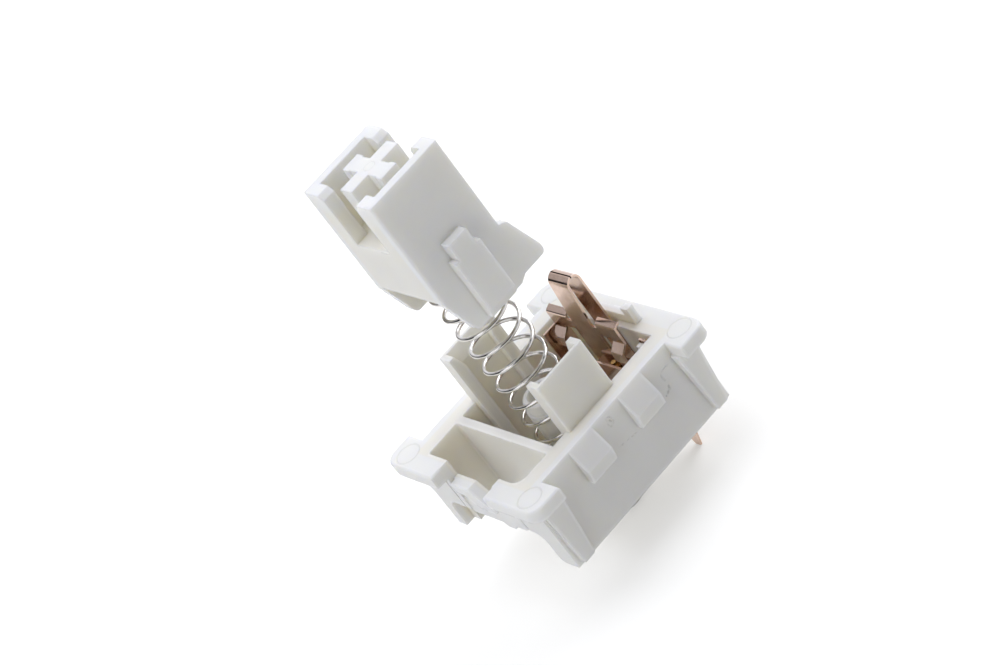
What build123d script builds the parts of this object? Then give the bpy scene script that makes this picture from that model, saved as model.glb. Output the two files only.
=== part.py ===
from build123d import *
import math
import os

# Keyboard switch with its top cover taken off, in millimetres.
# X runs east, Y runs north to the contacts, Z runs up the stroke of the key.
# The origin lies on the key axis, where the housing meets the circuit board.

# Board and panel standards
panel_seat = 5.0            # board to the underside of the flange
panel_cutout = 14.0
cutout_play = 0.05          # each side, corner posts to the panel's cut-out
flange_span = 15.6
flange_depth = 0.9
pole_diameter = 4.0
pole_length = 3.3
pole_chamfer = 0.3
pin_length = 3.3
west_pin = (-3.81, 2.54)
north_pin = (2.54, 5.08)
cross_north_south = 4.0
cross_east_west = 4.06
cross_north_south_width = 1.15
cross_east_west_width = 1.3

# Stroke heights of the stem's top above the board
lifted_height = 24.5        # on the free spring, as photographed
pressed_height = 11.2

# Housing shell
shell_width = 12.4          # across the east and west walls
cavity_width = 9.32
south_wall = 0.68
north_wall = 1.15
cross_wall = 0.59           # between the lamp pocket and the cavity
strip_recess_width = 2.2     # recess in the north wall behind the leaf's back strip
strip_recess_depth = 0.45
strip_recess_foot = 1.9
floor_depth = 0.6
shell_length = 13.9
lamp_pocket_length = 2.52
lamp_gap = 5.37             # gap in the south flange over the lamp pocket
ear_length = 2.3            # along the east and west sides
flange_corner = 1.0
flange_round = 0.16
pocket_corner = 0.15
pocket_south_east_corner = 0.85
south_wall_foot = 2.3       # height of the south wall's lower edge
south_foot_round = 0.9
wall_slit = (3.25, 0.16, 0.12)      # place, width and depth of the south wall's two slits

# Corner posts
post_east_west = 1.6
south_east_post = 2.45      # the post at the south-east is wider
post_north_south = 1.6
post_draft = 4.0            # degrees
post_foot_round = 0.4
post_groove_width = 0.28
post_groove_depth = 0.22
post_groove_inset = 0.3

# Latch wedges on the east and west walls
latch_width = 2.1
latch_offset = 2.2          # centre to either side of the key axis
latch_reach = 0.72
latch_crest_drop = 1.6      # rim to the wedge's crest
latch_chamfer = 0.65
latch_height = 2.5

# North wall's raised tab behind the leaf
tab_width = 5.6
tab_rise = 0.65
tab_horn_rise = 1.2
tab_horn_width = 0.65
tab_inset = 0.2             # from the shell's north face

# Stem
stem_width = 7.1
stem_length = 5.6
stem_wall = 0.7
return_length = 1.85
return_depth = 0.9
return_chamfer = 0.35
stem_round = 0.18
cross_pad = 0.62            # length of the wider ends of the east and west arms
cross_neck_width = 1.12
socket_depth = 3.8
stem_deck = 1.0
skirt_end = 7.6             # drops below the stem's top
cam_start = 6.7
cam_step = (0.45, 0.2)      # reach and drop of the cam's upper shoulder
leg_end = 10.4
leg_taper = 0.8             # the legs' south edges run in by this much
leg_round = 0.4
cam_end = 10.1
cam_reach = 1.3
cam_nose = 0.6
cam_heel = 0.5              # south of the wall's north face, where the cam meets the leg
cam_round = 0.32
guide_pole_diameter = 1.7
guide_pole_end = 12.4
guide_pole_round = 0.42

# Rails on the stem's east and west walls
rail_reach = 0.8
rail_width = 2.1
rail_top = 5.9
rail_end = 10.2
rail_block_width = 1.5
rail_block_top = 4.75
rail_chamfer = (0.35, 0.6)

# Running clearances
rail_play = 0.15            # rail to guide web
rail_side_play = 0.2        # rail to guide lips
pole_play = 0.1             # guide pole to its bore, on the radius
pin_play = 0.06             # solder pins to their slots
deck_play = 0.4             # spring post to the stem's deck when pressed

# Stem guides
guide_web = 0.55
guide_lip = 0.75
guide_lip_reach = 0.55
guide_rise = 3.65           # above the rim
guide_lead_in = 1.0         # height of the flared mouth
guide_lead_angle = 18.0     # degrees
guide_edge_round = 0.12

# Spring post and bore
post_diameter = 2.6
post_collar_diameter = 2.9
post_collar_drop = 0.8
post_rim_round = 0.15
bore_floor = 0.7            # left under the bore at the pole's end

# Return spring
spring_diameter = 4.0
spring_wire = 0.26
spring_active_turns = 12.5
spring_closed_turns = 1.0
closed_pitch_play = 0.04

# Contacts, bent from one thickness of sheet; places are the sheet's middle line
sheet = 0.15
strip_width = 1.95
strip_foot_gap = 0.2        # north wall's inner face to the back strip's foot
strip_back_reach = 0.05      # past that face, into the recess
strip_jog = (2.0, 2.8)
strip_crown = 10.35
strip_bend = 0.87           # between the two strips at the crown
strip_gap = 0.9             # back strip's foot to the front strip
strip_lean_end = 7.3
crown_round = 0.5
crease_round = 0.2
leaf_plate_width = 2.4
leaf_plate_foot = 2.4
leaf_plate_top = 6.95
arm_span = 6.9
arm_slot = 0.5
arm_foot = 6.3
arm_lip = (0.42, 7.4)
arm_crease = 7.25
tongue_width = 1.1
tongue_reach = 0.575        # south of the front strip
tongue_bend = 6.05
tongue_crest_heights = (5.6, 4.95)
tongue_foot = (0.225, 4.6)
tongue_round = 0.1
leaf_band_height = 1.9
leaf_tab_south = 3.7
leaf_tab_height = 6.0
pin_width = 1.3
pin_point_width = 0.5
pin_point_length = 1.1
anchor_gap = 0.35           # north wall's inner face to the fixed contact's anchor
anchor_height = 3.8
anchor_finger = (0.9, 5.75)         # length and height of the anchor's raised east end
anchor_wall_gap = 0.06
anchor_west = 1.5
anchor_rib = (0.85, 0.35, 5.6)      # reach, thickness and height
fixed_plate_width = 2.9
fixed_plate_west = -1.0
fixed_plate_height = 4.0
fixed_foot_west = 1.1
fixed_foot_east = 2.6
tip_height = 0.17
tip_length = 1.2
tip_base = 0.44
tip_crown = 0.16
tip_centre = (0.4, 3.2)

# Clip across the lamp pocket's south gap
clip_bar_foot = 2.0
clip_bar_top = 3.3
clip_bar_inset = 0.08
clip_proud = 0.15           # block in front of the south wall
clip_groove = (0.18, 0.3)   # width and depth between the block and the wall
clip_block = (-0.75, 4.0, 4.75)     # east end, underside and top
clip_leg_foot = (-0.75, 0.85)       # west and east ends where the leg lands on the bar
clip_arch = -1.75                   # east end of the arch under the block
clip_boss = (0.2, 1.6, 0.3)
clip_hole = (-0.35, 3.1, 0.32)      # place, height and diameter

# Added forms run this far into the wall that carries them, and cuts this far past it
root = 0.2
past = 1.0

rim_height = panel_seat + flange_depth
shell_x = shell_width / 2
cavity_x = cavity_width / 2
shell_y = shell_length / 2
cavity_north = shell_y - north_wall
lamp_pocket_south = south_wall - shell_y
lamp_pocket_north = lamp_pocket_south + lamp_pocket_length
cavity_south = lamp_pocket_north + cross_wall
strip_foot = cavity_north - strip_foot_gap
strip_back = cavity_north + strip_back_reach
strip_front = strip_foot - strip_gap
tongue_crest = strip_front - tongue_reach
anchor_y = cavity_north - anchor_gap
post_x = panel_cutout / 2 - cutout_play
flange_half = flange_span / 2
stem_x = stem_width / 2
stem_y = stem_length / 2
rail_x = stem_x + rail_reach
deck_end = socket_depth + stem_deck
post_top = pressed_height - deck_end - deck_play
standing = (Align.CENTER, Align.CENTER, Align.MIN)


def box_between(x, y, z):
    # A box from its two corners, each axis given as a pair of limits
    size = [abs(pair[1] - pair[0]) for pair in (x, y, z)]
    middle = [(pair[0] + pair[1]) / 2 for pair in (x, y, z)]
    return Pos(*middle) * Box(*size)


def both_sides(shape):
    # The shape and its mirror image across the key axis, east and west
    return [shape, mirror(shape, about=Plane.YZ)]


def flange():
    outline = RectangleRounded(flange_span, flange_span, flange_corner)
    side = flange_half - ear_length
    for sign in (-1, 1):
        outline -= Pos(sign * (shell_x + flange_half) / 2, 0) * Rectangle(
            flange_half - shell_x, 2 * side)
    outline -= Pos(0, -flange_half) * Rectangle(lamp_gap, 2 * (flange_half + lamp_pocket_south))
    plate = extrude(outline, flange_depth)
    plate = fillet(plate.edges().group_by(Axis.Z)[-1], flange_round)
    return Pos(0, 0, panel_seat) * plate


def corner_post(east, north, width):
    # A post that fills one corner of the panel's cut-out, drafted but for its inner side
    centre = (east * post_x / 2, north * (shell_y - post_north_south / 2))
    plan = Pos(*centre) * Rectangle(post_x, post_north_south)
    post = Pos(0, 0, panel_seat) * extrude(plan, -panel_seat, taper=post_draft)
    post &= box_between(
        (east * (post_x - width), east * post_x),
        (north * (shell_y - post_north_south), north * shell_y), (0, panel_seat))
    post = fillet(post.edges().group_by(Axis.Z)[0], post_foot_round)
    groove_x = east * (post_x - post_groove_inset - post_groove_width / 2)
    groove = Pos(groove_x, north * shell_y, panel_seat / 2) * Box(
        post_groove_width, 2 * post_groove_depth, panel_seat)
    return post - groove


def latch_wedge(east, centre_y):
    crest = rim_height - latch_crest_drop
    foot = rim_height - latch_height
    points = [
        (shell_x - root, rim_height), (shell_x, rim_height), (shell_x + latch_reach, crest),
        (shell_x + latch_reach * latch_chamfer, foot), (shell_x - root, foot),
    ]
    profile = [(east * x, 0, z) for x, z in points]
    wedge = extrude(make_face(Polyline(*profile, close=True)), latch_width / 2, both=True)
    return Pos(0, centre_y, 0) * wedge


def stem_guide():
    # C-shaped channel on the east side, open towards the stem, with a flared mouth
    web_inner = rail_x + rail_play
    web_outer = web_inner + guide_web
    lip_edge = web_inner - guide_lip_reach
    channel_half = rail_width / 2 + rail_side_play
    half = channel_half + guide_lip
    top = rim_height + guide_rise
    guide = box_between((lip_edge, web_outer), (-half, half), (floor_depth / 2, top))
    guide = fillet(guide.edges().filter_by(Axis.Z).group_by(Axis.X)[-1], guide_edge_round)
    channel = Pos((lip_edge - past + web_inner) / 2, 0) * Rectangle(
        web_inner - lip_edge + past, 2 * channel_half)
    mouth = Pos(0, 0, top - guide_lead_in) * extrude(
        channel, guide_lead_in + root, taper=-guide_lead_angle)
    return guide - extrude(channel, top) - mouth


def spring_post():
    post = Cylinder(post_diameter / 2, post_top, align=standing)
    post = fillet(post.edges().group_by(Axis.Z)[-1], post_rim_round)
    return post + Cylinder(post_collar_diameter / 2, post_top - post_collar_drop, align=standing)


def centre_pole():
    # Pole that locates the switch on the board
    pole = Cylinder(pole_diameter / 2, pole_length + floor_depth, align=standing)
    pole = chamfer(pole.edges().group_by(Axis.Z)[0], pole_chamfer)
    return Pos(0, 0, -pole_length) * pole


def south_opening():
    # Cut under the south wall, from post to post, with the feet rounded beside it
    south_limits = (-shell_y - past, lamp_pocket_south)
    opening = box_between(
        (post_east_west - post_x, post_x - south_east_post), south_limits, (0, south_wall_foot))
    opening = fillet(
        opening.edges().filter_by(Axis.Y).group_by(Axis.Z)[-1], south_foot_round)
    opening += box_between((-shell_x, shell_x), south_limits, (-past, 0))
    feet = opening.edges().filter_by(Axis.Y).sort_by_distance((0, -shell_y, 0))
    return fillet(feet[:2], post_foot_round)


def south_clip():
    # Low bar across the gap, and a block whose slanting leg lands on the bar
    half = lamp_gap / 2 + root
    y_limits = (clip_bar_inset - shell_y, lamp_pocket_south - clip_bar_inset)
    bar = box_between((-half, half), y_limits, (south_wall_foot, clip_bar_top)) + box_between(
        (-lamp_gap / 2, lamp_gap / 2), y_limits, (clip_bar_foot, clip_bar_top))
    east_end, underside, top = clip_block
    foot_west, foot_east = clip_leg_foot
    outline = make_face(Polyline(*[(x, lamp_pocket_south, z) for x, z in [
        (-half, top), (east_end, top), (foot_east, clip_bar_top - root),
        (foot_west, clip_bar_top - root), (clip_arch, underside), (-half, underside),
    ]], close=True))
    block = extrude(outline, south_wall + clip_proud, dir=(0, -1, 0))
    groove_width, groove_depth = clip_groove
    block -= box_between(
        (-half, groove_width - lamp_gap / 2), (-shell_y - past, groove_depth - shell_y),
        (underside - past, top + past))
    boss_west, boss_east, boss_drop = clip_boss
    boss = box_between(
        (boss_west, boss_east), y_limits, (clip_bar_foot - boss_drop, clip_bar_top))
    boss = chamfer(boss.edges().filter_by(Axis.Y).group_by(Axis.Z)[0], boss_drop)
    hole_x, hole_z, hole_diameter = clip_hole
    hole = Pos(hole_x, -shell_y, hole_z) * Rot(90, 0, 0) * Cylinder(hole_diameter / 2, 2 * root)
    return bar + boss + block - hole


def pin_slot(centre, along_x):
    size = (pin_width + 2 * pin_play, sheet + 2 * pin_play)
    if not along_x:
        size = size[::-1]
    return Pos(*centre, floor_depth / 2) * Box(*size, floor_depth + 2 * past)


def housing():
    body = box_between((-shell_x, shell_x), (-shell_y, shell_y), (0, rim_height))
    body += flange()
    body += corner_post(1, -1, south_east_post)
    for east, north in ((-1, -1), (-1, 1), (1, 1)):
        body += corner_post(east, north, post_east_west)
    for east in (-1, 1):
        for centre_y in (-latch_offset, latch_offset):
            body += latch_wedge(east, centre_y)
    cavity = box_between(
        (-cavity_x, cavity_x), (cavity_south, cavity_north), (floor_depth, rim_height + past))
    pocket = box_between(
        (-cavity_x, cavity_x), (lamp_pocket_south, lamp_pocket_north),
        (-past, rim_height + past))
    south_east = (cavity_x, lamp_pocket_south, panel_seat)
    corners = pocket.edges().filter_by(Axis.Z).sort_by_distance(south_east)
    pocket = fillet(corners[0], pocket_south_east_corner)
    corners = pocket.edges().filter_by(Axis.Z).sort_by_distance(south_east)
    pocket = fillet(corners[-3:], pocket_corner)
    gap = box_between(
        (-lamp_gap / 2, lamp_gap / 2), (-shell_y - past, lamp_pocket_south),
        (-past, rim_height + past))
    body = body - cavity - pocket - south_opening() - gap
    recess_north = cavity_north + strip_recess_depth
    body += box_between(
        (-tab_width / 2, tab_width / 2), (recess_north, shell_y - tab_inset),
        (panel_seat, rim_height + tab_rise))
    horn = box_between(
        (tab_width / 2 - tab_horn_width, tab_width / 2), (recess_north, shell_y - tab_inset),
        (panel_seat, rim_height + tab_horn_rise))
    slit_x, slit_width, slit_depth = wall_slit
    slit = box_between(
        (slit_x - slit_width / 2, slit_x + slit_width / 2), (-shell_y - past, slit_depth - shell_y),
        (south_wall_foot - past, panel_seat))
    for side in both_sides(horn):
        body += side
    for side in both_sides(slit):
        body -= side
    body -= box_between(
        (-strip_recess_width / 2, strip_recess_width / 2), (cavity_north - root, recess_north),
        (strip_recess_foot, rim_height + past))
    rib_reach, rib_depth, rib_height = anchor_rib
    rib_north = anchor_y - sheet / 2 - pin_play
    body += box_between(
        (cavity_x - rib_reach, cavity_x + root), (rib_north - rib_depth, rib_north),
        (floor_depth / 2, rib_height))
    body += south_clip()
    for side in both_sides(stem_guide()):
        body += side
    body += centre_pole() + spring_post()
    bore = Cylinder(
        guide_pole_diameter / 2 + pole_play, post_top + pole_length + past, align=standing)
    body -= Pos(0, 0, bore_floor - pole_length) * bore
    return body - pin_slot(north_pin, True) - pin_slot(west_pin, False)


def cross_mount():
    # Cross that carries the keycap, its east and west arms wider at their ends
    arms = Rectangle(cross_north_south_width, cross_north_south) + Rectangle(
        cross_east_west, cross_neck_width)
    for sign in (-1, 1):
        arms += Pos(sign * (cross_east_west - cross_pad) / 2, 0) * Rectangle(
            cross_pad, cross_east_west_width)
    return extrude(arms, -socket_depth - stem_deck / 2)


def rail():
    # Rail on the east wall with a narrower block on its top
    main = box_between(
        (stem_x - stem_wall / 2, rail_x), (-rail_width / 2, rail_width / 2), (-rail_end, -rail_top))
    edge = main.edges().filter_by(Axis.Y).group_by(Axis.Z)[0].sort_by(Axis.X)[-1]
    reach, height = rail_chamfer
    main = chamfer(edge, reach, height, reference=main.faces().sort_by(Axis.Z)[0])
    return main + box_between(
        (stem_x - stem_wall / 2, rail_x), (-rail_block_width / 2, rail_block_width / 2),
        (-rail_top, -rail_block_top))


def side_wall():
    # East wall, which runs down into a tapered leg with a cam on its north edge
    crest = stem_y + cam_reach
    heel = stem_y - cam_heel
    leg_south = leg_taper - stem_y
    step_reach, step_drop = cam_step
    outline = [
        (-stem_y, 0), (stem_y, 0), (stem_y, -cam_start),
        (stem_y + step_reach, -cam_start - step_drop), (crest, cam_nose - cam_end),
        (crest, -cam_end), (heel, -cam_end), (heel - cam_heel, -leg_end), (leg_south, -leg_end),
        (-stem_y, -skirt_end),
    ]
    points = [(stem_x - stem_wall / 2, y, z) for y, z in outline]
    wall = extrude(make_face(Polyline(*points, close=True)), stem_wall / 2, both=True)
    across = wall.edges().filter_by(Axis.X)
    wall = fillet(across.group_by(Axis.Z)[0].sort_by(Axis.Y)[0], leg_round)
    tip = wall.edges().filter_by(Axis.X).group_by(Axis.Y)[-1]
    return fillet(tip, cam_round)


def corner_return(north):
    # Short wall at one end of the east wall's upper part, down to the deck
    y_limits = sorted((north * stem_y, north * (stem_y - return_depth)))
    wall = box_between((stem_x - return_length, stem_x), y_limits, (-deck_end, 0))
    edges = wall.edges().filter_by(Axis.Y).group_by(Axis.Z)[-1].sort_by(Axis.X)
    return chamfer(edges[0], return_chamfer)


def at_stem_corner(edge):
    middle = edge.center()
    return math.isclose(abs(middle.X), stem_x) and math.isclose(abs(middle.Y), stem_y)


def stem():
    wall = side_wall() + rail()
    for north in (-1, 1):
        wall += corner_return(north)
    body = cross_mount()
    for side in both_sides(wall):
        body += side
    body += box_between((-stem_x, stem_x), (-stem_y, stem_y), (-deck_end, -socket_depth))
    for north in (-1, 1):
        y_limits = sorted((north * stem_y, north * (stem_y - stem_wall)))
        body += box_between((-stem_x, stem_x), y_limits, (-skirt_end, -socket_depth))
    body = fillet(body.edges().filter_by(Axis.Z).filter_by(at_stem_corner), stem_round)
    pole = Cylinder(guide_pole_diameter / 2, guide_pole_end - socket_depth, align=standing)
    pole = fillet(pole.edges().group_by(Axis.Z)[0], guide_pole_round)
    body += Pos(0, 0, -guide_pole_end) * pole
    return Pos(0, 0, lifted_height) * body


def return_spring():
    # Closed end turns and an open middle, swept from one wire
    radius = (spring_diameter - spring_wire) / 2
    seat = floor_depth + spring_wire / 2
    top = lifted_height - deck_end - spring_wire / 2
    closed_pitch = spring_wire + closed_pitch_play
    closed = closed_pitch * spring_closed_turns
    open_height = top - seat - 2 * closed
    lower = Helix(closed_pitch, closed, radius)
    middle = Helix(open_height / spring_active_turns, open_height, radius)
    turned = 360 * spring_active_turns
    path = Wire([
        lower,
        Pos(0, 0, closed) * middle,
        Pos(0, 0, closed + open_height) * Rot(0, 0, turned) * lower,
    ])
    section = Plane(origin=path @ 0, z_dir=path % 0) * Circle(spring_wire / 2)
    return Pos(0, 0, seat) * sweep(section, path=path)


def bent_sheet(points, rounds, x_limits):
    # Sheet bent along a line seen from the east, between two limits along X
    line = FilletPolyline(*[(0, y, z) for y, z in points], radius=rounds)
    start, end = x_limits
    edge = Plane(origin=line @ 0, x_dir=(1, 0, 0), z_dir=line % 0) * Rectangle(end - start, sheet)
    return Pos((start + end) / 2, 0, 0) * sweep(edge, path=line)


def solder_pin(top):
    # Flat pin, tapered to its point, seen along Y with its middle on the origin
    half = pin_width / 2
    point = pin_point_width / 2
    outline = [
        (-half, 0, top), (half, 0, top), (half, 0, pin_point_length - pin_length),
        (point, 0, -pin_length), (-point, 0, -pin_length),
        (-half, 0, pin_point_length - pin_length),
    ]
    return extrude(make_face(Polyline(*outline, close=True)), sheet / 2, both=True)


def moving_contact():
    half = strip_width / 2
    spine = [
        (strip_foot, floor_depth), (strip_foot, strip_jog[0]), (strip_back, strip_jog[1]),
        (strip_back, strip_crown), (strip_back - strip_bend, strip_crown),
        (strip_front, strip_lean_end), (strip_front, leaf_plate_foot),
    ]
    rounds = [crease_round, crease_round, crown_round, crown_round, crease_round]
    leaf = bent_sheet(spine, rounds, (-half, half))
    y_limits = (strip_front - sheet / 2, strip_front + sheet / 2)
    plate_half = leaf_plate_width / 2
    leaf += box_between((-plate_half, plate_half), y_limits, (leaf_plate_foot, leaf_plate_top))
    arm_end = arm_span / 2
    lip_reach, lip_top = arm_lip
    arm_line = [
        (strip_front + lip_reach, lip_top), (strip_front, arm_crease), (strip_front, arm_foot)]
    arm = bent_sheet(arm_line, [crease_round], (half + arm_slot, arm_end))
    arm += box_between((half, arm_end), y_limits, (arm_foot, leaf_plate_top))
    crest_top, crest_foot = tongue_crest_heights
    foot_back, foot_height = tongue_foot
    tongue_line = [
        (strip_front, arm_foot + root), (strip_front, tongue_bend), (tongue_crest, crest_top),
        (tongue_crest, crest_foot), (strip_front - foot_back, foot_height),
    ]
    arm += bent_sheet(tongue_line, [tongue_round] * 3, (arm_end - tongue_width, arm_end))
    for side in both_sides(arm):
        leaf += side
    pin_x, pin_y = west_pin
    band_line = FilletPolyline(
        (half, strip_foot, 0), (pin_x, strip_foot, 0), (pin_x, pin_y - pin_width / 2, 0),
        radius=crease_round)
    section = Plane(origin=band_line @ 0, x_dir=(0, 1, 0), z_dir=band_line % 0) * Rectangle(
        sheet, leaf_band_height - floor_depth)
    leaf += Pos(0, 0, (leaf_band_height + floor_depth) / 2) * sweep(section, path=band_line)
    leaf += box_between(
        (pin_x - sheet / 2, pin_x + sheet / 2), (leaf_tab_south, strip_foot - crease_round),
        (floor_depth, leaf_tab_height))
    return leaf + Pos(pin_x, pin_y, 0) * Rot(0, 0, 90) * solder_pin(floor_depth + root)


def fixed_contact():
    east = cavity_x - anchor_wall_gap
    plate_north = strip_front - sheet / 2 - 2 * tip_height
    floor_limits = (floor_depth, floor_depth + sheet)
    anchor_limits = (anchor_y - sheet / 2, anchor_y + sheet / 2)
    finger_length, finger_height = anchor_finger
    contact = box_between((anchor_west, east), anchor_limits, (floor_depth, anchor_height))
    contact += box_between(
        (east - finger_length, east), anchor_limits, (floor_depth, finger_height))
    contact += box_between(
        (fixed_plate_west, fixed_plate_west + fixed_plate_width), (plate_north - sheet, plate_north),
        (floor_depth, fixed_plate_height))
    contact += box_between(
        (fixed_foot_west, fixed_foot_east), (plate_north - sheet, anchor_y + sheet / 2), floor_limits)
    pin_x, pin_y = north_pin
    contact += box_between(
        (anchor_west, pin_x + pin_width / 2), (pin_y - sheet / 2, anchor_y + sheet / 2), floor_limits)
    return contact + Pos(pin_x, pin_y, 0) * solder_pin(floor_depth + sheet)


def contact_tip():
    # Crosspoint bar, seen from its end: broad at the weld and narrow at its crown
    flank = math.degrees(math.atan2(2 * tip_height, tip_base - tip_crown))
    outline = Trapezoid(tip_base, tip_height, flank, align=(Align.CENTER, Align.MIN))
    return extrude(Plane.YZ * outline, tip_length / 2, both=True)


def moving_contact_tip():
    x, z = tip_centre
    weld = strip_front - sheet / 2
    return Pos(x, weld, z) * Rot(90, 0, 0) * Rot(0, 0, 90) * contact_tip()


def fixed_contact_tip():
    x, z = tip_centre
    weld = strip_front - sheet / 2 - 2 * tip_height
    return Pos(x, weld, z) * Rot(-90, 0, 0) * contact_tip()


parts = {
    "housing": housing(),
    "stem": stem(),
    "return_spring": return_spring(),
    "moving_contact": moving_contact(),
    "fixed_contact": fixed_contact(),
    "moving_contact_tip": moving_contact_tip(),
    "fixed_contact_tip": fixed_contact_tip(),
}
os.makedirs("parts", exist_ok=True)
for name, solid in parts.items():
    export_step(solid, f"parts/{name}.step")
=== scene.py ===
import functools
import math

import bpy
from mathutils import Matrix, Vector


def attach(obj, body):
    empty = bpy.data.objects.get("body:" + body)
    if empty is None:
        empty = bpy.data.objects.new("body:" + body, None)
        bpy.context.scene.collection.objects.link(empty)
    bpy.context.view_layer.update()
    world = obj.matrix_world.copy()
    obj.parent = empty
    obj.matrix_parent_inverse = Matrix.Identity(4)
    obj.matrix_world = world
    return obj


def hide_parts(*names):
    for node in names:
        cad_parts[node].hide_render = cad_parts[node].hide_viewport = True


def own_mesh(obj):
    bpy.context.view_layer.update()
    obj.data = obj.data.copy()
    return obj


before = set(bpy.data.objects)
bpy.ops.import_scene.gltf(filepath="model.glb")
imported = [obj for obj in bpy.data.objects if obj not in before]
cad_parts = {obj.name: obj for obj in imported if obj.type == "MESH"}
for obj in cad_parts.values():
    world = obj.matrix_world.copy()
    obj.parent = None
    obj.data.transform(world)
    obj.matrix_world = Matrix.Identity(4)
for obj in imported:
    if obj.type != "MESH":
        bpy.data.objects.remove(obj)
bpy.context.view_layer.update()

# All lengths are in metres; MM and mm() turn the object's own millimetres into them
MM = 0.001


def mm(*lengths):
    return tuple(length * MM for length in lengths)


# Photograph's viewpoint, fitted to the housing and the stem together
CAMERA_PLACE = Vector((157.8, -58.3, 109.3)) * MM
CAMERA_AIM = Vector((-0.26, 0.29, 10.6)) * MM
CAMERA_ROLL = math.radians(-37.33)
FOCAL_PIXELS = 3370.0
PICTURE_WIDTH = 1000
SENSOR_WIDTH = 36.0
CLIPPING = (0.01, 10.0)

# Return spring, the same sizes as its solid
SPRING_SEAT = 0.6 * MM
SPRING_TOP = 19.7 * MM
SPRING_DIAMETER = 4.0 * MM
WIRE_DIAMETER = 0.26 * MM
ACTIVE_TURNS = 12.5
CLOSED_TURNS = 1.0
CLOSED_PITCH = 0.3 * MM
COIL_POINTS = 900
WIRE_SIDES = 14

# Moulded plastic, with a painted highlight on outer edges, painted shade in creases and a painted
# warm glow on inner walls
EDGE_REACH = 0.22 * MM
EDGE_HIGHLIGHT_PAINT = 0.9
CREASE_REACH = 0.5 * MM
CREASE_PAINTED_SHADE = 0.4
FLOW_SHADE = 0.12
SPECK_SHADE = 0.06
FLOW_DULLING = 0.12
SCRATCH_POLISH = 0.06
EDGE_POLISH = 0.12
SCRATCH_DEPTH = 0.0015 * MM
PLASTIC_IOR = 1.49
GLOW_SHARE = 0.6
GLOW_DEPTH = 1.4 * MM
GLOW_COLOUR = (1.0, 0.9, 0.62)
INNER_GLOW_TINT = (1.0, 0.976, 0.92, 1.0)

# Where the walls lie: each mask rises from the first place to the second
HOUSING_INSIDE_EAST = mm(5.8, 5.6)
HOUSING_INSIDE_NORTH = mm(6.6, 6.4)
HOUSING_EAR_TOP = mm(5.7, 5.8)
HOUSING_EAST_FACE = mm(6.0, 6.1)
STEM_INSIDE_EAST = mm(2.95, 2.85)
STEM_INSIDE_UP = mm(23.9, 22.5)
STEM_CROSS_TOP = mm(24.3, 24.4)

# Moulding marks. Scars on the east wall go from and to a place north and up, and have a
# width and a darkness.
MARK_CORE = 0.3
MARK_DARK_GREY = (0.3, 0.05)
EJECTOR_MARK = mm(6.33, 6.76)
EJECTOR_MARK_RADIUS = 0.8 * MM
EJECTOR_MARK_WIDTH = 0.08 * MM
EJECTOR_MARK_DARKNESS = 0.12
HOUSING_MARK_DEPTH = 0.03 * MM
EAST_WALL_SCARS = [
    (mm(4.15, 4.65), mm(4.2, 4.15), 0.09 * MM, 0.16),
    (mm(4.2, 3.75), mm(4.15, 3.5), 0.1 * MM, 0.3),
    (mm(4.15, 3.5), mm(3.7, 3.35), 0.1 * MM, 0.34),
    (mm(4.35, 4.74), mm(4.9, 4.75), 0.07 * MM, 0.1),
    (mm(-0.45, 3.45), mm(-0.2, 3.42), 0.07 * MM, 0.14),
    (mm(0.1, 3.36), mm(0.8, 3.25), 0.07 * MM, 0.1),
    (mm(-0.02, 5.2), mm(0.03, 5.08), 0.09 * MM, 0.3),
]
EAST_WALL_PIT = mm(-0.05, 5.12)
EAST_WALL_PIT_NARROWNESS = 1.5
EAST_WALL_PIT_RADIUS = 0.33 * MM
EAST_WALL_PIT_WIDTH = 0.1 * MM
EAST_WALL_PIT_DARKNESS = 0.14
CROSS_MARK_RADIUS = 0.36 * MM
CROSS_MARK_WIDTH = 0.06 * MM
CROSS_MARK_DEPTH = 0.02 * MM
CROSS_MARK_DARKNESS = 0.08

# Metals
STEEL = (0.68, 0.66, 0.63, 1.0)
STAINED_STEEL = (0.42, 0.39, 0.35, 1.0)
BRONZE = (0.66, 0.49, 0.4, 1.0)
STAINED_BRONZE = (0.54, 0.37, 0.28, 1.0)
ROLLED_BRONZE = (0.72, 0.56, 0.47, 1.0)
SPOTTED_BRONZE = (0.4, 0.25, 0.18, 1.0)
BRONZE_EDGE_HIGHLIGHT = (0.86, 0.74, 0.66, 1.0)
GOLD = (0.83, 0.6, 0.25, 1.0)
WORN_GOLD = (0.74, 0.58, 0.38, 1.0)
DRAW_LINE_DEPTH = 0.0008 * MM
ROLLING_LINE_DEPTH = 0.0008 * MM
PLATING_DEPTH = 0.001 * MM

# Floor
FLOOR_LEVEL = -3.3 * MM
FLOOR_REACH = 1.5
FLOOR_PALENESS = 0.74
FLOOR_GLOW = 0.4

# Room light: where it comes from, and its level on the bright and the dark side
BRIGHT_SIDE = (-0.3, 0.45, 0.84)
BRIGHT_LEVEL = 0.3
DARK_LEVEL = 0.0
BRIGHT_SPREAD = (-0.5, 0.6)
LIGHT_TINT = (0.965, 0.982, 1.045)
WHITE = (1.0, 1.0, 1.0, 1.0)

# What bright metal mirrors: a white backdrop on the north side, a dim room, a paler ceiling.
# Heights are sines above the table; sides are the share of the way north.
BACKDROP_SIDE = (-0.05, 0.3)
BACKDROP_FADE = (0.5, 0.75)
DIM_ROOM = 0.02
CEILING_RISE = (0.75, 0.95)
CEILING_LEVEL = 0.15

# Square soft boxes that look at the middle of the switch: the side each stands on, its power
LAMP_DISTANCE = 0.35
LAMP_SIZE = 0.3
LAMPS = {
    "back_softbox": ((-0.2, 0.8, 0.5), 0.72),
    "front_softbox": ((0.25, -0.85, 0.5), 0.43),
    "top_softbox": ((-0.15, -0.1, 1.0), 0.52),
    "left_softbox": ((-0.8, -0.15, 0.6), 0.16),
}


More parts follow.
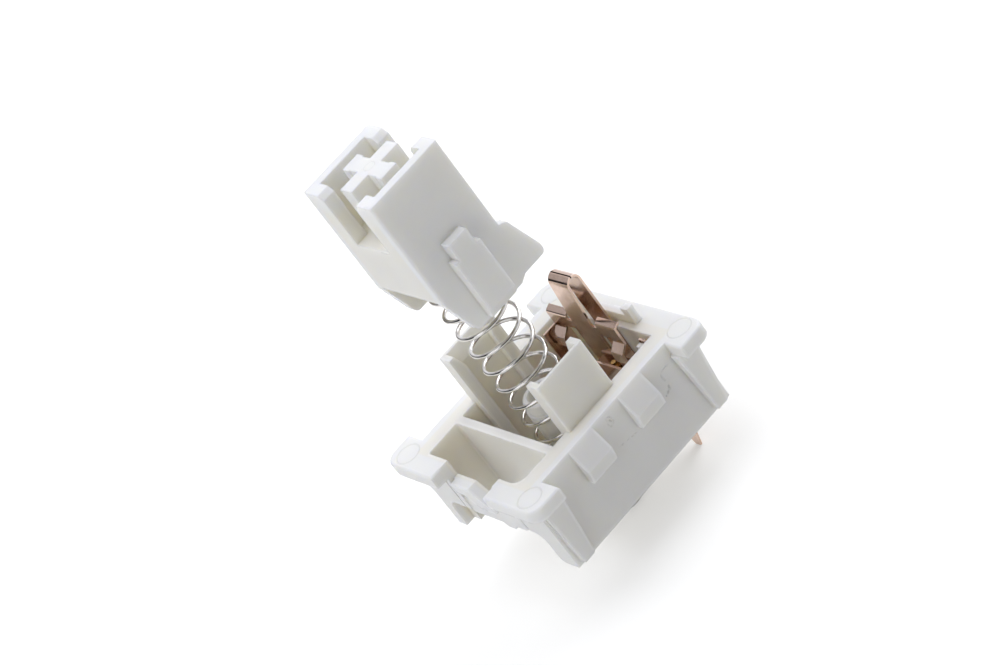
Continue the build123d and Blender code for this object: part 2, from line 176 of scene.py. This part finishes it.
class Value:
    """A number in a node tree. Python's signs on it add the Math nodes."""

    def __init__(self, tree, socket):
        self.tree = tree
        self.socket = socket

    def math(self, operation, *values):
        return self.tree.node("ShaderNodeMath", {"operation": operation}, dict(enumerate(values)))

    def __add__(self, other):
        return self.math("ADD", self, other)

    def __sub__(self, other):
        return self.math("SUBTRACT", self, other)

    def __rsub__(self, other):
        return self.math("SUBTRACT", other, self)

    def __mul__(self, other):
        return self.math("MULTIPLY", self, other)

    def __truediv__(self, other):
        return self.math("DIVIDE", self, other)

    def __pow__(self, other):
        return self.math("POWER", self, other)

    def __abs__(self):
        return self.math("ABSOLUTE", self)

    __radd__ = __add__
    __rmul__ = __mul__


class Tree:
    """Node tree of a material, the world or a geometry modifier."""

    def __init__(self, tree):
        self.tree = tree

    def node(self, kind, settings=None, inputs=None, output=0):
        made = self.tree.nodes.new(kind)
        for name, setting in (settings or {}).items():
            setattr(made, name, setting)
        self.fill(made, inputs or {})
        return Value(self, made.outputs[output])

    def fill(self, made, inputs):
        for key, value in inputs.items():
            socket = made.inputs[key]
            if isinstance(value, Value):
                self.tree.links.new(value.socket, socket)
            else:
                socket.default_value = value

    def mix_colour(self, share, first, second, blend="MIX"):
        # Colour sockets of the Mix node are its seventh and eighth, and its third output
        return self.node(
            "ShaderNodeMix", {"data_type": "RGBA", "blend_type": blend},
            {0: share, 6: first, 7: second}, 2)

    def split(self, vector):
        made = self.node("ShaderNodeSeparateXYZ", None, {"Vector": vector}).socket.node
        return [Value(self, socket) for socket in made.outputs]

    def ray_kinds(self, path, *kinds):
        # 1 for each of these kinds of ray, and 0 for the others
        sockets = [Value(self, path.outputs[kind]) for kind in kinds]
        return functools.reduce(lambda one, other: one.math("MAXIMUM", one, other), sockets)

    def between(self, value, low, high):
        # Smooth mask that rises from 0 at low to 1 at high
        return self.node(
            "ShaderNodeMapRange", {"interpolation_type": "SMOOTHSTEP", "clamp": True},
            {"Value": value, "From Min": low, "From Max": high})


class Finish(Tree):
    """One material, with its surface shader and the object's own coordinates."""

    def __init__(self, name):
        self.material = bpy.data.materials.new(name)
        self.material.use_nodes = True
        super().__init__(self.material.node_tree)
        self.surface = self.tree.nodes["Principled BSDF"]
        self.place = self.node("ShaderNodeTexCoord", output="Object")

    def set(self, **inputs):
        self.fill(self.surface, {name.replace("_", " "): value for name, value in inputs.items()})

    def present(self, name):
        # What feeds this socket of the surface so far
        return Value(self, self.surface.inputs[name].links[0].from_socket)

    def noise(self, size, detail=2.0, rough=0.5, place=None):
        # Noise whose grains are about this size
        return self.node("ShaderNodeTexNoise", None, {
            "Vector": place or self.place, "Scale": 1.0 / size,
            "Detail": detail, "Roughness": rough})

    def stretched(self, factors):
        return self.node("ShaderNodeMapping", None, {"Vector": self.place, "Scale": factors})

    def bump(self, height, depth, below=None):
        inputs = {"Height": height, "Distance": depth, "Strength": 1.0}
        if below is not None:
            inputs["Normal"] = below
        return self.node("ShaderNodeBump", None, inputs)

    def rounded(self, radius):
        return self.node("ShaderNodeBevel", {"samples": 6}, {"Radius": radius})

    def closeness(self, reach, inside):
        # Share of the near space that the piece itself fills: inside for outer edges, else creases
        free = self.node(
            "ShaderNodeAmbientOcclusion", {"samples": 5, "inside": inside, "only_local": True},
            {"Distance": reach}, "AO")
        return 1.0 - free

    def line_mark(self, across, up, start, end, width):
        # 1 on the line between two points of a wall, falling to 0 at this width from it
        run, rise = end[0] - start[0], end[1] - start[1]
        length = math.hypot(run, rise)
        along = ((across - start[0]) * run + (up - start[1]) * rise) * (1 / length ** 2)
        along = self.node("ShaderNodeClamp", None, {"Value": along, "Min": 0.0, "Max": 1.0})
        off_across = across - start[0] - along * run
        off_up = up - start[1] - along * rise
        away = (off_across ** 2.0 + off_up ** 2.0) ** 0.5
        return self.between(away, width, width * MARK_CORE)

    def ring_mark(self, across, up, centre, radius, width):
        # 1 on a circle round this centre, falling to 0 at this width from it
        away = ((across - centre[0]) ** 2.0 + (up - centre[1]) ** 2.0) ** 0.5
        return self.between(abs(away - radius), width, width * MARK_CORE)

    def carve(self, mark, depth, darkness):
        # A mark pressed into the surface, with its colour darkened towards a dark grey
        normal, base = self.present("Normal"), self.present("Base Color")
        self.set(
            Normal=self.bump(mark, -depth, normal),
            Base_Color=self.mix_colour(mark * darkness, base, grey(*MARK_DARK_GREY)))

    def paint_inner_glow(self, inside):
        # Painted warm glow: the inner walls' colour is multiplied by a cream tint, standing in for
        # light that has passed through the moulding
        base = self.present("Base Color")
        self.set(Base_Color=self.mix_colour(inside, base, INNER_GLOW_TINT, "MULTIPLY"))


def grey(value, warmth=0.0):
    # Neutral grey, or a cream one where there is some warmth
    return (value, value * (1 - 0.5 * warmth), value * (1 - 2.4 * warmth), 1.0)


def moulded_plastic(name, level, warmth, roughness, grain_depth, edge_round):
    """White moulded plastic: faint flow marks, a fine eroded grain, softened edges with a painted
    highlight, and painted shade in the creases.
    """
    finish = Finish(name)
    cloud = finish.noise(2.6 * MM, detail=3.0)
    flow = finish.noise(1.1 * MM, 4.0, 0.6, finish.stretched((1.0, 1.0, 0.25)))
    speck = finish.between(finish.noise(0.16 * MM, detail=1.0), 0.7, 0.78)
    # Painted highlight: outer edges are lightened towards near white, and also made glossier
    edge = finish.between(finish.closeness(EDGE_REACH, True), 0.06, 0.4)
    # Painted shade: creases and inner corners are darkened
    crease = finish.between(finish.closeness(CREASE_REACH, False), 0.15, 0.8)
    base = finish.mix_colour(cloud, grey(level * 0.97, warmth), grey(level * 1.02, warmth * 0.8))
    base = finish.mix_colour(flow * FLOW_SHADE, base, grey(level * 0.9, warmth * 1.6))
    base = finish.mix_colour(speck * SPECK_SHADE, base, grey(level * 0.7, warmth * 2))
    base = finish.mix_colour(edge * EDGE_HIGHLIGHT_PAINT, base, grey(0.98, warmth * 0.8))
    base = finish.mix_colour(crease * CREASE_PAINTED_SHADE, base, grey(level * 0.55, warmth * 2))
    grain = finish.noise(0.05 * MM, 2.0, 0.6)
    scratch = finish.between(
        finish.noise(0.35 * MM, 5.0, 0.7, finish.stretched((0.35, 1.0, 3.0))), 0.62, 0.72)
    normal = finish.rounded(edge_round)
    normal = finish.bump(grain, grain_depth, normal)
    normal = finish.bump(scratch, -SCRATCH_DEPTH, normal)
    dullness = roughness + flow * FLOW_DULLING - scratch * SCRATCH_POLISH - edge * EDGE_POLISH
    finish.set(
        Base_Color=base, Roughness=dullness, Normal=normal, IOR=PLASTIC_IOR,
        Subsurface_Weight=GLOW_SHARE, Subsurface_Scale=GLOW_DEPTH, Subsurface_Radius=GLOW_COLOUR)
    return finish


def housing_plastic():
    """Fine eroded moulding with a painted warm glow inside, ejector marks and scars on its east
    wall.
    """
    finish = moulded_plastic(
        "housing_plastic", level=0.86, warmth=0.018, roughness=0.33,
        grain_depth=0.002 * MM, edge_round=0.12 * MM)
    east, north, up = finish.split(finish.place)
    # Painted warm glow on the housing's inner walls
    inside = finish.between(abs(east), *HOUSING_INSIDE_EAST)
    finish.paint_inner_glow(inside * finish.between(abs(north), *HOUSING_INSIDE_NORTH))
    # Round ejector marks on the four ears, with painted shade darkening the ring
    on_top = finish.between(up, *HOUSING_EAR_TOP)
    ring = finish.ring_mark(
        abs(east), abs(north), EJECTOR_MARK, EJECTOR_MARK_RADIUS, EJECTOR_MARK_WIDTH)
    finish.carve(ring * on_top, HOUSING_MARK_DEPTH, EJECTOR_MARK_DARKNESS)
    # Scars and a pit on the outside of the east wall, broken up by the mould's wear
    broken = finish.between(finish.noise(0.22 * MM), 0.36, 0.56)
    on_wall = finish.between(east, *HOUSING_EAST_FACE) * broken
    for start, end, width, darkness in EAST_WALL_SCARS:
        scar = finish.line_mark(north, up, start, end, width)
        finish.carve(scar * on_wall, HOUSING_MARK_DEPTH, darkness)
    pit = finish.ring_mark(
        north * EAST_WALL_PIT_NARROWNESS, up,
        EAST_WALL_PIT, EAST_WALL_PIT_RADIUS, EAST_WALL_PIT_WIDTH)
    finish.carve(pit * on_wall, HOUSING_MARK_DEPTH, EAST_WALL_PIT_DARKNESS)
    return finish.material


def stem_plastic():
    """Smoother moulding painted lighter than the housing, with a painted warm glow between its
    walls and a gate mark on the cross.
    """
    # Painted light: the stem's level is set above the housing's, standing in for the stronger
    # light that falls on the stem
    finish = moulded_plastic(
        "stem_plastic", level=0.9, warmth=0.022, roughness=0.27,
        grain_depth=0.0012 * MM, edge_round=0.14 * MM)
    east, north, up = finish.split(finish.place)
    # Painted warm glow between the stem's walls
    inside = finish.between(abs(east), *STEM_INSIDE_EAST)
    finish.paint_inner_glow(inside * finish.between(up, *STEM_INSIDE_UP))
    ring = finish.ring_mark(east, north, (0.0, 0.0), CROSS_MARK_RADIUS, CROSS_MARK_WIDTH)
    on_top = finish.between(up, *STEM_CROSS_TOP)
    finish.carve(ring * on_top, CROSS_MARK_DEPTH, CROSS_MARK_DARKNESS)
    return finish.material


def spring_steel():
    """Bright drawn wire, with faint draw lines and a little staining."""
    finish = Finish("spring_steel")
    stain = finish.between(finish.noise(0.9 * MM, 4.0, 0.6), 0.45, 0.75)
    lines = finish.noise(0.03 * MM, place=finish.stretched((1.0, 1.0, 6.0)))
    finish.set(
        Base_Color=finish.mix_colour(stain, STEEL, STAINED_STEEL), Metallic=1.0,
        Roughness=0.03 + stain * 0.07 + lines * 0.03,
        Normal=finish.bump(lines, DRAW_LINE_DEPTH))
    return finish.material


def contact_bronze():
    """Rolled bronze sheet with rolling lines, handling stains and a painted highlight on its
    edges.
    """
    finish = Finish("contact_bronze")
    rolled = finish.noise(0.09 * MM, 3.0, 0.6, finish.stretched((1.0, 1.0, 0.06)))
    stain = finish.between(finish.noise(1.3 * MM, 5.0, 0.62), 0.4, 0.72)
    spot = finish.between(finish.noise(0.3 * MM), 0.66, 0.76)
    # Painted highlight: edges of the sheet are lightened towards a pale bronze
    edge = finish.between(finish.closeness(0.08 * MM, True), 0.15, 0.6)
    base = finish.mix_colour(stain, BRONZE, STAINED_BRONZE)
    base = finish.mix_colour(rolled * 0.3, base, ROLLED_BRONZE)
    base = finish.mix_colour(spot * 0.3, base, SPOTTED_BRONZE)
    base = finish.mix_colour(edge * 0.6, base, BRONZE_EDGE_HIGHLIGHT)
    finish.set(
        Base_Color=base, Metallic=1.0, Roughness=0.1 + stain * 0.08 + rolled * 0.05,
        Normal=finish.bump(rolled, ROLLING_LINE_DEPTH, finish.rounded(0.03 * MM)))
    return finish.material


def tip_gold():
    """Plated contact bar with a fine polish and light wear."""
    finish = Finish("tip_gold")
    wear = finish.between(finish.noise(0.2 * MM, detail=3.0), 0.5, 0.7)
    finish.set(
        Base_Color=finish.mix_colour(wear, GOLD, WORN_GOLD), Metallic=1.0,
        Roughness=0.2 + wear * 0.12,
        Normal=finish.bump(finish.noise(0.04 * MM), PLATING_DEPTH, finish.rounded(0.02 * MM)))
    return finish.material


def coil_tree(name, labels, material):
    """Geometry tree that winds a wire along Z, with closed turns at both ends."""
    group = bpy.data.node_groups.new(name, "GeometryNodeTree")
    for label in labels:
        group.interface.new_socket(label, in_out="INPUT", socket_type="NodeSocketFloat")
    group.interface.new_socket("Geometry", in_out="OUTPUT", socket_type="NodeSocketGeometry")
    tree = Tree(group)
    given = group.nodes.new("NodeGroupInput")
    seat, top, radius, wire, active, closed, closed_pitch = [
        Value(tree, given.outputs[label]) for label in labels]
    line = tree.node(
        "GeometryNodeCurvePrimitiveLine", None, {"Start": (0, 0, 0), "End": (0, 0, 1)})
    line = tree.node(
        "GeometryNodeResampleCurve", {"mode": "COUNT"}, {"Curve": line, "Count": COIL_POINTS})
    turn = tree.node("GeometryNodeInputIndex") / (COIL_POINTS - 1.0) * (active + closed * 2.0)
    open_pitch = (top - seat - closed * closed_pitch * 2.0) / active
    opened = tree.node(
        "ShaderNodeClamp", None, {"Value": turn - closed, "Min": 0.0, "Max": active})
    height = seat + closed_pitch * turn + (open_pitch - closed_pitch) * opened
    angle = turn * (2.0 * math.pi)
    place = tree.node("ShaderNodeCombineXYZ", None, {
        "X": radius * angle.math("COSINE", angle), "Y": radius * angle.math("SINE", angle),
        "Z": height})
    wound = tree.node("GeometryNodeSetPosition", None, {"Geometry": line, "Position": place})
    section = tree.node(
        "GeometryNodeCurvePrimitiveCircle", None, {"Resolution": WIRE_SIDES, "Radius": wire})
    solid = tree.node("GeometryNodeCurveToMesh", None, {
        "Curve": wound, "Profile Curve": section, "Fill Caps": True})
    real = tree.node("GeometryNodeRealizeInstances", None, {"Geometry": solid})
    dressed = tree.node("GeometryNodeSetMaterial", None, {"Geometry": real, "Material": material})
    tree.fill(group.nodes.new("NodeGroupOutput"), {"Geometry": dressed})
    return group


def coil(name, material):
    """Compression spring as a plain mesh, made by its geometry tree."""
    sizes = {
        "Seat": SPRING_SEAT + WIRE_DIAMETER / 2, "Top": SPRING_TOP - WIRE_DIAMETER / 2,
        "Coil radius": (SPRING_DIAMETER - WIRE_DIAMETER) / 2, "Wire radius": WIRE_DIAMETER / 2,
        "Active turns": ACTIVE_TURNS, "Closed turns": CLOSED_TURNS, "Closed pitch": CLOSED_PITCH,
    }
    group = coil_tree(name + "_tree", list(sizes), material)
    carrier = bpy.data.objects.new(name + "_carrier", bpy.data.meshes.new(name + "_carrier"))
    bpy.context.collection.objects.link(carrier)
    modifier = carrier.modifiers.new("coil", "NODES")
    modifier.node_group = group
    for item in group.interface.items_tree:
        if item.in_out == "INPUT":
            modifier[item.identifier] = float(sizes[item.name])
    bpy.context.view_layer.update()
    evaluated = carrier.evaluated_get(bpy.context.evaluated_depsgraph_get())
    mesh = bpy.data.meshes.new_from_object(evaluated)
    for face in mesh.polygons:
        face.use_smooth = True
    piece = bpy.data.objects.new(name, mesh)
    bpy.context.collection.objects.link(piece)
    bpy.data.objects.remove(carrier)
    return piece


def studio_floor():
    """White table that shows white to the camera and keeps the object's soft shadow."""
    mesh = bpy.data.meshes.new("studio_floor")
    sides = [(-1, -1), (1, -1), (1, 1), (-1, 1)]
    corners = [(x * FLOOR_REACH, y * FLOOR_REACH, FLOOR_LEVEL) for x, y in sides]
    mesh.from_pydata(corners, [], [(0, 1, 2, 3)])
    floor = bpy.data.objects.new("studio_floor", mesh)
    bpy.context.collection.objects.link(floor)
    finish = Finish("studio_white")
    path = finish.node("ShaderNodeLightPath").socket.node
    seen = finish.ray_kinds(path, "Is Camera Ray", "Is Glossy Ray", "Is Transmission Ray")
    finish.set(
        Base_Color=grey(FLOOR_PALENESS, 0.02), Roughness=0.9, Specular_IOR_Level=0.1,
        Emission_Color=finish.mix_colour(seen, grey(0.0), grey(FLOOR_GLOW)),
        Emission_Strength=1.0)
    mesh.materials.append(finish.material)


def studio_world():
    """Soft room light, stronger from its bright side, behind a plain white background.

    Bright metal shows that background on the north side, and a dim room round the rest.
    """
    world = bpy.data.worlds.new("studio_world")
    world.use_nodes = True
    bpy.context.scene.world = world
    tree = Tree(world.node_tree)
    path = tree.node("ShaderNodeLightPath").socket.node
    towards = tree.node("ShaderNodeTexCoord", output="Generated")
    facing = tree.node(
        "ShaderNodeVectorMath", {"operation": "DOT_PRODUCT"}, {0: towards, 1: BRIGHT_SIDE},
        "Value")
    room = DARK_LEVEL + (BRIGHT_LEVEL - DARK_LEVEL) * tree.between(facing, *BRIGHT_SPREAD)
    north, height = tree.split(towards)[1:]
    backdrop = 1.0 - tree.between(height, *BACKDROP_FADE)
    mirrored = DIM_ROOM + (1.0 - DIM_ROOM) * backdrop * tree.between(north, *BACKDROP_SIDE)
    mirrored = mirrored + tree.between(height, *CEILING_RISE) * CEILING_LEVEL
    shown = tree.ray_kinds(path, "Is Camera Ray", "Is Transmission Ray")
    glossy = tree.ray_kinds(path, "Is Glossy Ray")
    strength = room + shown * (1.0 - room) + glossy * (mirrored - room)
    tint = tree.mix_colour(shown, (*LIGHT_TINT, 1.0), WHITE)
    tree.fill(world.node_tree.nodes["Background"], {"Color": tint, "Strength": strength})


def lamp(name, side, power):
    light = bpy.data.lights.new(name, "AREA")
    light.shape = "SQUARE"
    light.size = LAMP_SIZE
    light.energy = power
    light.color = LIGHT_TINT
    holder = bpy.data.objects.new(name, light)
    aim = Vector(side).normalized()
    holder.location = CAMERA_AIM + aim * LAMP_DISTANCE
    holder.rotation_mode = "QUATERNION"
    holder.rotation_quaternion = aim.to_track_quat("Z", "Y")
    bpy.context.collection.objects.link(holder)


def photograph_camera():
    camera = bpy.data.cameras.new("camera")
    camera.sensor_width = SENSOR_WIDTH
    camera.lens = FOCAL_PIXELS / PICTURE_WIDTH * SENSOR_WIDTH
    camera.clip_start, camera.clip_end = CLIPPING
    holder = bpy.data.objects.new("camera", camera)
    back = (CAMERA_PLACE - CAMERA_AIM).normalized()
    level = back.to_track_quat("Z", "Y").to_matrix().to_4x4()
    holder.matrix_world = (
        Matrix.Translation(CAMERA_PLACE) @ level @ Matrix.Rotation(CAMERA_ROLL, 4, "Z"))
    bpy.context.collection.objects.link(holder)
    bpy.context.scene.camera = holder


photograph_camera()
studio_world()
studio_floor()
for lamp_name, (lamp_side, lamp_power) in LAMPS.items():
    lamp(lamp_name, lamp_side, lamp_power)
bpy.context.scene.view_settings.view_transform = "Standard"

bronze = contact_bronze()
gold = tip_gold()
finishes = {
    "housing": housing_plastic(), "stem": stem_plastic(),
    "moving_contact": bronze, "fixed_contact": bronze,
    "moving_contact_tip": gold, "fixed_contact_tip": gold,
}
for node, material in finishes.items():
    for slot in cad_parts[node].material_slots:
        slot.material = material

spring = coil("wound_spring", spring_steel())
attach(spring, "base")
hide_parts("return_spring")
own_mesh(spring)
